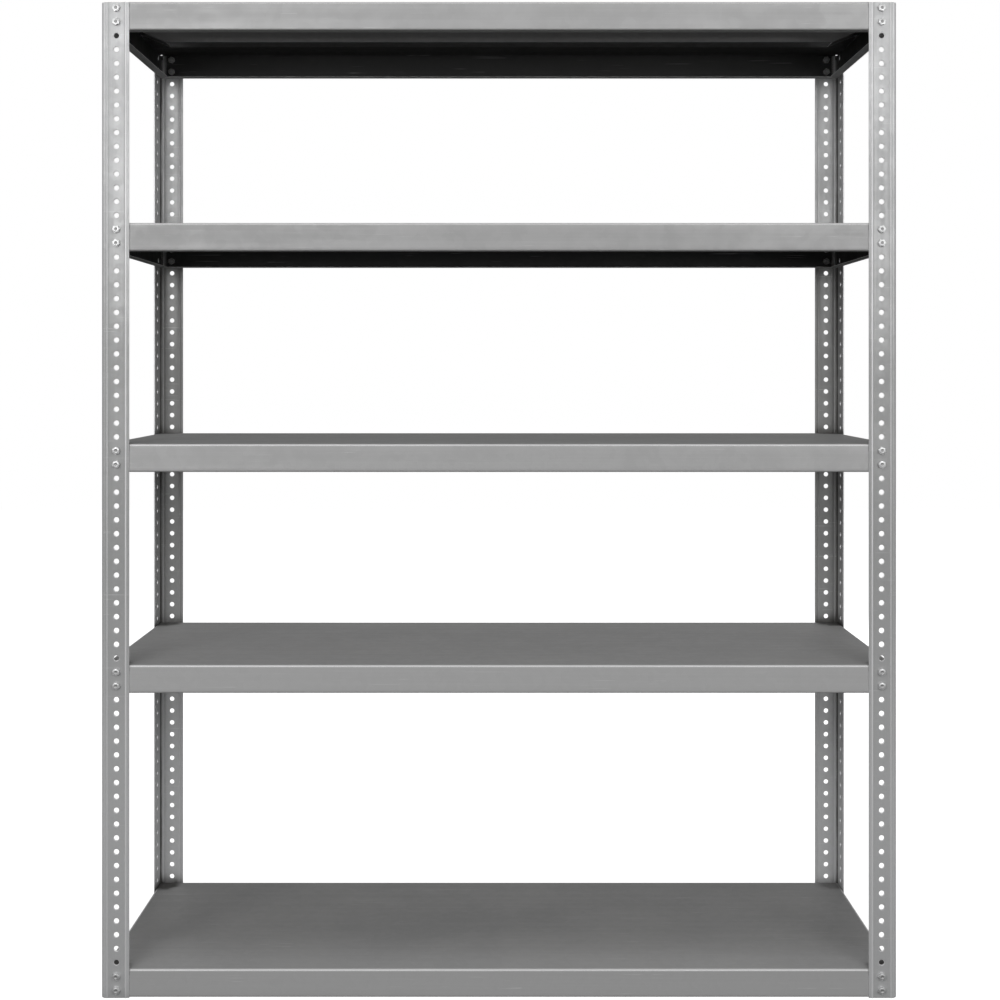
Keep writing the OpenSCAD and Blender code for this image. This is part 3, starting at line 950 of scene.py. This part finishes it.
def bolt_profile(turn, length):
    """Radius, height and masks along the bolt, from the dish in the head to the tip.

    Height 0 is the bearing face and the head is above it. Every row holds one value for
    each angle. The chamfer's height falls off as tan 30 degrees times the distance past
    the level part. The thread is a sine in height less one pitch a turn.
    """
    side = hex_radius(head_flats, turn)
    level = level_share * head_flats / 2
    shoulder = head_height - (side - level) * math.tan(math.radians(30))
    soft = soft_edge
    bowl = [(share * dish_radius, head_height - dish_depth * math.cos(math.pi * share / 2), 1, 0)
            for share in (0.15, 0.40, 0.62, 0.80, 0.93)]
    rim = dish_radius + soft
    crown = [(rim + share * (level - rim), head_height - head_crown * share ** 2, 0, 0.3)
             for share in (0.0, 0.3, 0.6, 0.85, 1.0)]
    shoulder = np.minimum(shoulder, head_height - head_crown) - 0.2 * soft
    rows = [
        *bowl, *crown,
        (side - soft, shoulder + soft * 0.6, 0, 0.4),
        (side, shoulder - soft, 0, 0.4),
        (side, shoulder - 3 * soft, 0, 0),
        (side, 3 * soft, 0, 0),
        (side, soft, 0, 0.3),
        (side - soft, 0.0, 0, 0.3),
        (bolt_radius + 2 * soft, 0.0, 0.5, 0),
        (bolt_radius, -0.0002, 0.5, 0)]
    radius, height, hollow, edge = (
        np.stack([np.broadcast_to(row[k], turn_steps) for row in rows]) for k in range(4))
    run = np.linspace(thread_start, length - thread_end, thread_rows)[:, None]
    wave = np.cos(2 * math.pi * run / thread_pitch - around)
    fade_in = np.clip((run - thread_start) / 0.002, 0, 1)
    fade_out = np.clip((length - 0.0004 - run) / 0.001, 0, 1)
    cut = thread_depth * (1 - wave) / 2 * (fade_in * fade_out)
    tip = bolt_radius - np.repeat(np.array(tip_chamfer)[:, None], turn_steps, 1)
    radius = np.concatenate([radius, bolt_radius - cut, tip])
    ends = np.full((2, turn_steps), -length)
    height = np.concatenate([height, np.broadcast_to(-run, cut.shape), ends])
    hollow = np.concatenate([hollow, 0.9 * cut / thread_depth, 0 * ends])
    edge = np.concatenate([edge, 0 * cut, 0 * ends])
    return radius, height, hollow, edge


def turned_skin(radius, height):
    """Points at (r cos a, r sin a) about a vertical axis, in quads, with a cap on each end."""
    points = np.stack([radius * np.cos(around), radius * np.sin(around), height], -1)
    index = np.arange(radius.size).reshape(radius.shape)
    onward = np.roll(index, -1, 1)
    quads = np.stack([index[:-1], index[1:], onward[1:], onward[:-1]], -1).reshape(-1, 4)
    caps = np.stack([index[0], index[-1][::-1]])
    return points.reshape(-1, 3), quads, caps


def stand_at(points, place, face):
    """Lay a piece that was turned about +Z along the bolt's line, at its place on the face.

    face is -1 at the front, where height points to -Y, and 1 at the rear.
    """
    x, y, height = points.T
    return np.stack([place[0] - face * x, place[1] + face * height, place[2] + y], -1)


def bolt_places(face, level):
    """The four bolt places of one face of a shelf, on the outside of the posts."""
    low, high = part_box(f"bolts_{face}_{level}")
    reach = head_flats / 2 / math.cos(math.radians(30))
    height = (low.z + high.z) / 2
    y = low.y + head_height if face == "front" else high.y - head_height
    return [(x, y, height + rise) for x in (low.x + reach, high.x - reach)
            for rise in (-hole_pitch / 2, hole_pitch / 2)]


def build_bolts(face, level, rng):
    node = f"bolts_{face}_{level}"
    low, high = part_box(node)
    length = high.y - low.y - head_height
    side = -1 if face == "front" else 1
    all_points, all_quads, all_caps, masks = [], [], [], []
    for place in bolt_places(face, level):
        radius, height, hollow, edge = bolt_profile(rng.uniform(0, math.pi / 3), length)
        points, quads, caps = turned_skin(radius, height)
        start = sum(len(p) for p in all_points)
        all_points.append(stand_at(points, place, side))
        all_quads.append(quads + start)
        all_caps.append(caps + start)
        masks.append(np.stack([hollow.ravel(), edge.ravel()]))
    hollow, edge = np.concatenate(masks, 1)
    add_piece("hex_" + node, node, np.concatenate(all_points),
              [np.concatenate(all_quads), np.concatenate(all_caps)], bolt_zinc,
              {"hollow": hollow, "edge": edge})


draw = np.random.default_rng(7)
for face in ("front", "rear"):
    for level in level_names:
        build_bolts(face, level, draw)

# ---- Hex nuts ------------------------------------------------------------------------
# Forty hex nuts, chamfered on both faces, tightened against the inside of the flanges,
# with the ends of the bolts standing out of them.
nut_flats = 0.0127
nut_height = 0.00675
nut_bore = bolt_radius + 0.00005

nut_zinc = plated("nut_zinc", (0.60, 0.60, 0.59), (0.84, 0.84, 0.83), 0.33)


def build_nuts(face, level, rng):
    """Rings whose section runs up the bore, out over the face, down the flats and back."""
    node = f"nuts_{face}_{level}"
    side = -1 if face == "front" else 1
    seat = -(post_gauge + shelf_gauge)
    soft = soft_edge
    flat = level_share * nut_flats / 2
    all_points, all_quads, hollows, edges = [], [], [], []
    for place in bolt_places(face, level):
        hexagon = hex_radius(nut_flats, rng.uniform(0, math.pi / 3))
        fall = (hexagon - flat) * math.tan(math.radians(30))
        rows = [
            (nut_bore, 0.0006, 1, 0), (nut_bore, nut_height - 0.0006, 1, 0),
            (nut_bore + 0.0006, nut_height, 0.5, 0.3), (nut_bore + 0.0010, nut_height, 0, 0),
            (flat - 2 * soft, nut_height, 0, 0), (flat, nut_height, 0, 0.4),
            (hexagon - soft, nut_height - fall + 0.6 * soft, 0, 0.4),
            (hexagon, nut_height - fall - soft, 0, 0.4),
            (hexagon, nut_height - fall - 3 * soft, 0, 0), (hexagon, fall + 3 * soft, 0, 0),
            (hexagon, fall + soft, 0, 0.4), (hexagon - soft, fall - 0.6 * soft, 0, 0.4),
            (flat, 0.0, 0, 0), (nut_bore + 0.0006, 0.0, 0, 0)]
        radius, height, hollow, edge = (
            np.stack([np.broadcast_to(row[k], turn_steps) for row in rows]) for k in range(4))
        points = np.stack([radius * np.cos(around), radius * np.sin(around), seat - height], -1)
        index = np.arange(radius.size).reshape(radius.shape)
        below, onward = np.roll(index, -1, 0), np.roll(index, -1, 1)
        quads = np.stack([index, onward, np.roll(below, -1, 1), below], -1).reshape(-1, 4)
        start = sum(len(p) for p in all_points)
        all_points.append(stand_at(points.reshape(-1, 3), place, side))
        all_quads.append(turned_outwards(points.reshape(-1, 3), quads) + start)
        hollows.append(hollow.ravel())
        edges.append(edge.ravel())
    add_piece("hex_" + node, node, np.concatenate(all_points), [np.concatenate(all_quads)],
              nut_zinc,
              {"hollow": np.concatenate(hollows), "edge": np.concatenate(edges)})


for face in ("front", "rear"):
    for level in level_names:
        build_nuts(face, level, draw)
